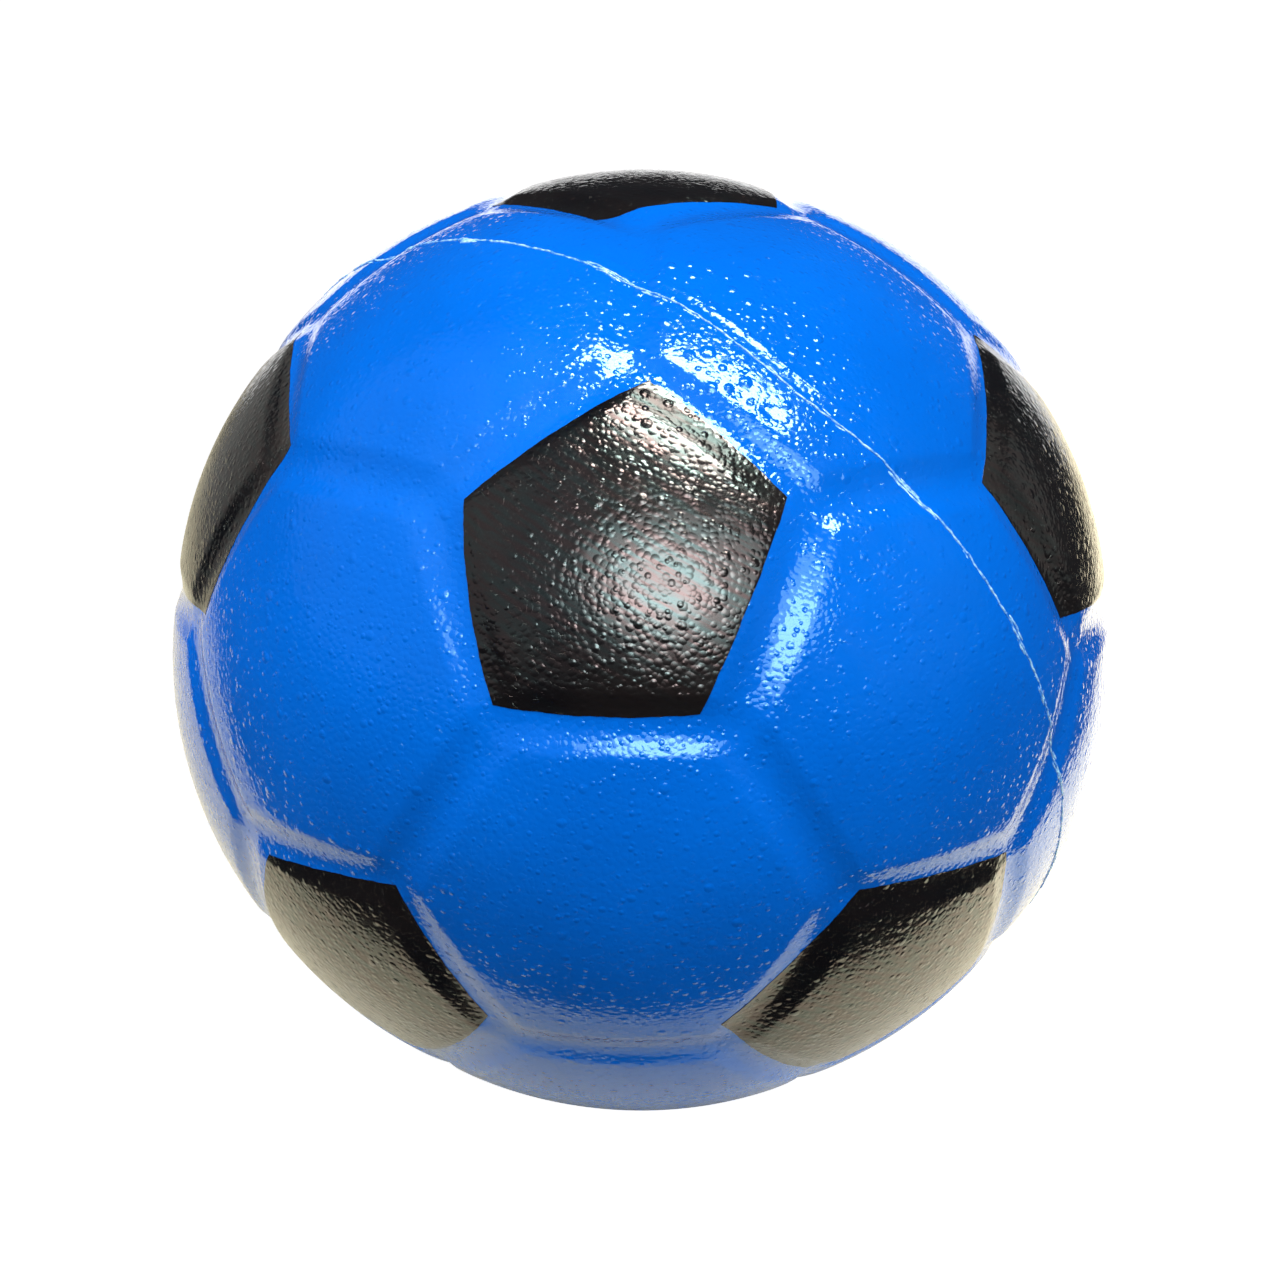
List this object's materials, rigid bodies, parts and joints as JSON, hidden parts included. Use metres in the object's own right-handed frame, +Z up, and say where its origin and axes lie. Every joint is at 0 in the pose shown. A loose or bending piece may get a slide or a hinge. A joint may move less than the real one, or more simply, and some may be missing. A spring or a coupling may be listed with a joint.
{
  "type": "playground rubber ball",
  "caption": "Inflatable round rubber ball with domed hexagon and pentagon panels, off-register black printed pentagons, wound carcass, bladder and self-sealing valve.",
  "frame": {"origin": "centre of the ball", "axes": "+Z up through the centre of the top pentagon; -Y is the front, where an upper-ring pentagon faces; +X is to the right seen from the front"},
  "size_m": [0.2144, 0.2156, 0.2162],
  "materials": {
    "cover_rubber": "gloss, pimpled",
    "print_film": "gloss, faintly iridescent",
    "winding": "wound nylon thread",
    "butyl": "satin",
    "butyl_plug": "satin"
  },
  "bodies": {
    "ball": {"hexagon_panel_crown_1": "cover_rubber", "hexagon_panel_crown_2": "cover_rubber", "hexagon_panel_crown_3": "cover_rubber", "hexagon_panel_crown_4": "cover_rubber", "hexagon_panel_crown_5": "cover_rubber", "hexagon_panel_upper_1": "cover_rubber", "hexagon_panel_upper_2": "cover_rubber", "hexagon_panel_upper_3": "cover_rubber", "hexagon_panel_upper_4": "cover_rubber", "hexagon_panel_upper_5": "cover_rubber", "hexagon_panel_lower_1": "cover_rubber", "hexagon_panel_lower_2": "cover_rubber", "hexagon_panel_lower_3": "cover_rubber", "hexagon_panel_lower_4": "cover_rubber", "hexagon_panel_lower_5": "cover_rubber", "hexagon_panel_base_1": "cover_rubber", "hexagon_panel_base_2": "cover_rubber", "hexagon_panel_base_3": "cover_rubber", "hexagon_panel_base_4": "cover_rubber", "hexagon_panel_base_5": "cover_rubber", "pentagon_panel_top": "cover_rubber", "pentagon_panel_upper_front": "cover_rubber", "pentagon_panel_upper_right": "cover_rubber", "pentagon_panel_upper_rear_right": "cover_rubber", "pentagon_panel_upper_rear_left": "cover_rubber", "pentagon_panel_upper_left": "cover_rubber", "pentagon_panel_lower_front_left": "cover_rubber", "pentagon_panel_lower_front_right": "cover_rubber", "pentagon_panel_lower_right": "cover_rubber", "pentagon_panel_lower_rear": "cover_rubber", "pentagon_panel_lower_left": "cover_rubber", "pentagon_panel_bottom": "cover_rubber", "pentagon_print_top": "print_film", "pentagon_print_upper_front": "print_film", "pentagon_print_upper_right": "print_film", "pentagon_print_upper_rear_right": "print_film", "pentagon_print_upper_rear_left": "print_film", "pentagon_print_upper_left": "print_film", "pentagon_print_lower_front_left": "print_film", "pentagon_print_lower_front_right": "print_film", "pentagon_print_lower_right": "print_film", "pentagon_print_lower_rear": "print_film", "pentagon_print_lower_left": "print_film", "pentagon_print_bottom": "print_film", "nylon_winding": "winding", "butyl_bladder": "butyl", "valve_seat": "butyl"},
    "plug": {"valve_plug": "butyl_plug"}
  },
  "joints": [
    {"name": "valve_pull", "type": "slide", "parent": "ball", "child": "plug", "axis": [0.5257, 0.7236, 0.4472], "range_m": [0, 0.018]}
  ]
}
